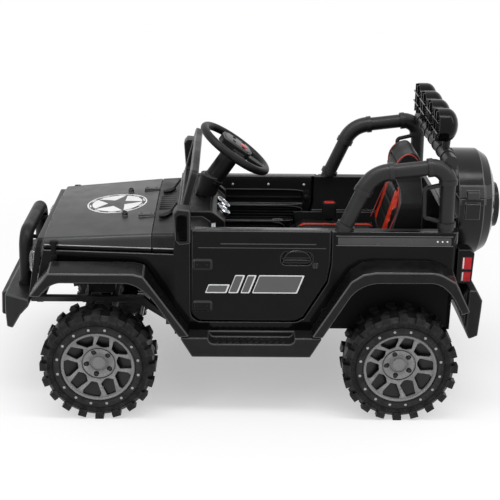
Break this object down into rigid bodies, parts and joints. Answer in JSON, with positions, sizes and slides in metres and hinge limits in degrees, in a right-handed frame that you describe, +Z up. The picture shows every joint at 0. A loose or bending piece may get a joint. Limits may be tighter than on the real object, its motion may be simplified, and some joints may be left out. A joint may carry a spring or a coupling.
{
  "type": "children's ride-on off-road 4x4",
  "caption": "Open children's ride-on car in off-road style: hollow tub with doors, single seat, steered front wheels, roll bars with roof lamps and a round storage drum.",
  "frame": {"origin": "on the floor, under the middle of the bounding box", "axes": "+X forward, +Y to the left, +Z up; it stands on its four wheels"},
  "size_m": [1.1757, 0.632, 0.686],
  "materials": {
    "black_gloss": "glossy moulded black plastic",
    "black_matte": "fine-grained black plastic",
    "grey_silver": "satin silver-grey paint",
    "tyre": "hard moulded tyre with chunky lugs",
    "steel_black": "black powder-coated steel",
    "steel_bare": "zinc-plated steel",
    "clear": "clear plastic sheet",
    "lens_clear": "clear lamp lens",
    "lens_red": "red transparent plastic",
    "seat_black": "moulded black seat",
    "seat_cloth": "padded synthetic leather",
    "seat_red": "padded synthetic leather, red sides",
    "chrome": "chromed trim",
    "buckle": "black buckle with a red button"
  },
  "bodies": {
    "body": {"battery": "black_matte", "belt_buckle": "buckle", "body_tub": "black_gloss", "bull_bar": "black_matte", "chassis_frame": "steel_black", "cowl": "black_matte", "dash_dials": "chrome", "dashboard": "black_matte", "drive_motors": "black_matte", "front_axle": "steel_black", "front_bumper": "black_matte", "front_flares": "black_matte", "front_subframe": "steel_black", "gear_lever": "black_matte", "grille_panel": "black_gloss", "headlamps": "lens_clear", "hood": "black_gloss", "mirrors": "black_matte", "pedal": "black_matte", "rear_axle": "steel_bare", "rear_bumper": "black_matte", "rear_flares": "black_matte", "roll_bar_cross": "black_matte", "roll_bars": "black_matte", "roof_lamps": "black_gloss", "roof_lenses": "lens_clear", "seat_back_pad": "seat_red", "seat_cushion": "seat_cloth", "seat_shell": "seat_black", "side_steps": "black_matte", "steering_boot": "black_matte", "storage_drum": "black_matte", "tail_lamps": "black_gloss", "tail_lenses": "lens_red", "windscreen_frame": "black_matte", "windscreen_pane": "clear", "wipers": "black_matte"},
    "knuckle_left": {"knuckle_left": "steel_black"},
    "knuckle_right": {"knuckle_right": "steel_black"},
    "tie_rod": {"tie_rod": "steel_bare"},
    "steering_wheel": {"steering_wheel": "black_matte"},
    "door_left": {"door_left": "black_gloss"},
    "door_right": {"door_right": "black_gloss"},
    "storage_lid": {"storage_lid": "black_matte"},
    "wheel_front_left": {"tyre_front_left": "tyre", "rim_front_left": "grey_silver"},
    "wheel_front_right": {"tyre_front_right": "tyre", "rim_front_right": "grey_silver"},
    "wheel_rear_left": {"tyre_rear_left": "tyre", "rim_rear_left": "grey_silver"},
    "wheel_rear_right": {"tyre_rear_right": "tyre", "rim_rear_right": "grey_silver"}
  },
  "joints": [
    {"name": "front_left_wheel_spin", "type": "hinge", "parent": "knuckle_left", "child": "wheel_front_left", "pos_m": [0.3485, 0.273, 0.13], "axis": [0, 1, 0], "continuous": true},
    {"name": "front_right_wheel_spin", "type": "hinge", "parent": "knuckle_right", "child": "wheel_front_right", "pos_m": [0.3485, -0.273, 0.13], "axis": [0, 1, 0], "continuous": true},
    {"name": "rear_left_wheel_spin", "type": "hinge", "parent": "body", "child": "wheel_rear_left", "pos_m": [-0.3305, 0.273, 0.13], "axis": [0, 1, 0], "continuous": true},
    {"name": "rear_right_wheel_spin", "type": "hinge", "parent": "body", "child": "wheel_rear_right", "pos_m": [-0.3305, -0.273, 0.13], "axis": [0, 1, 0], "continuous": true},
    {"name": "kingpin_left", "type": "hinge", "parent": "body", "child": "knuckle_left", "pos_m": [0.3485, 0.2, 0.13], "axis": [0, 0, 1], "range_deg": [-20, 20]},
    {"name": "kingpin_right", "type": "hinge", "parent": "body", "child": "knuckle_right", "pos_m": [0.3485, -0.2, 0.13], "axis": [0, 0, 1], "range_deg": [-20, 20]},
    {"name": "tie_rod_pin", "type": "hinge", "parent": "knuckle_left", "child": "tie_rod", "pos_m": [0.26635, 0.2, 0.162], "axis": [0, 0, 1], "range_deg": [-20, 20]},
    {"name": "steering_column", "type": "hinge", "parent": "body", "child": "steering_wheel", "pos_m": [0.044, 0, 0.553], "axis": [-0.5707, 0, 0.8211], "range_deg": [-48, 48]},
    {"name": "door_left_hinge", "type": "hinge", "parent": "body", "child": "door_left", "pos_m": [0.14175, 0.238, 0.318], "axis": [0, 0, -1], "range_deg": [0, 60]},
    {"name": "door_right_hinge", "type": "hinge", "parent": "body", "child": "door_right", "pos_m": [0.14175, -0.238, 0.318], "axis": [0, 0, 1], "range_deg": [0, 60]},
    {"name": "storage_lid_hinge", "type": "hinge", "parent": "body", "child": "storage_lid", "pos_m": [-0.502, -0.125, 0.471], "axis": [1, 0, 0], "range_deg": [0, 100]}
  ],
  "couplings": [
    {"joint": "kingpin_right", "follows": "kingpin_left", "ratio": 1},
    {"joint": "tie_rod_pin", "follows": "kingpin_left", "ratio": -1},
    {"joint": "steering_column", "follows": "kingpin_left", "ratio": 2.4}
  ]
}
